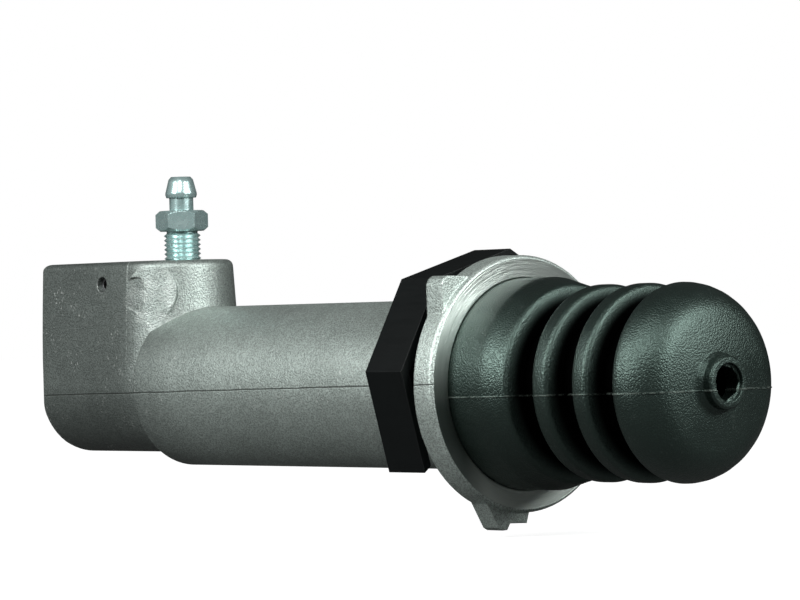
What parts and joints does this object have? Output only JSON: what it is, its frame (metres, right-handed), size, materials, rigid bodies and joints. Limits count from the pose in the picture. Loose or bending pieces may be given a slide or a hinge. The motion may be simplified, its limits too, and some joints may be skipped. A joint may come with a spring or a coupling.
{
  "type": "clutch slave cylinder",
  "caption": "Die-cast hydraulic clutch slave cylinder with a bayonet flange, clip-on locking collar, folded rubber boot and bleed screw.",
  "frame": {"origin": "on the bore axis, in the machined front face of the flange, where the bayonet joint seats in the clutch housing", "axes": "+X along the bore towards the boot, the way the pushrod points; +Z towards the bleed screw; the side seen in the picture is -Y"},
  "size_m": [0.1976, 0.0553, 0.0751],
  "materials": {
    "cast_aluminium": "die-cast and bead-blasted, matte",
    "black_plastic": "satin",
    "boot_rubber": "matte, moulded",
    "zinc_steel": "bright zinc plate",
    "spring_steel": "oiled",
    "machined_aluminium": "turned",
    "seal_rubber": "smooth",
    "seat_plastic": "moulded"
  },
  "bodies": {
    "cylinder": {"cylinder_body": "cast_aluminium", "dust_boot": "boot_rubber", "connector_pin": "spring_steel", "stop_ring": "spring_steel", "preload_spring": "spring_steel"},
    "collar": {"locking_collar": "black_plastic"},
    "bleed": {"bleed_screw": "zinc_steel"},
    "piston": {"piston": "machined_aluminium", "primary_cup": "seal_rubber", "secondary_seal": "seal_rubber", "spring_seat": "seat_plastic"}
  },
  "joints": [
    {"name": "collar_turn", "type": "hinge", "parent": "cylinder", "child": "collar", "pos_m": [-0.0126, 0, 0], "axis": [1, 0, 0], "continuous": true},
    {"name": "bleed_turn", "type": "hinge", "parent": "cylinder", "child": "bleed", "pos_m": [-0.1082, 0, 0.0277], "axis": [0, 0, 1], "range_deg": [0, 360]},
    {"name": "piston_slide", "type": "slide", "parent": "cylinder", "child": "piston", "axis": [1, 0, 0], "range_m": [-0.028, 0], "stiffness_N_per_m": 500, "springref_m": 0.05, "deforming": ["preload_spring"]}
  ]
}
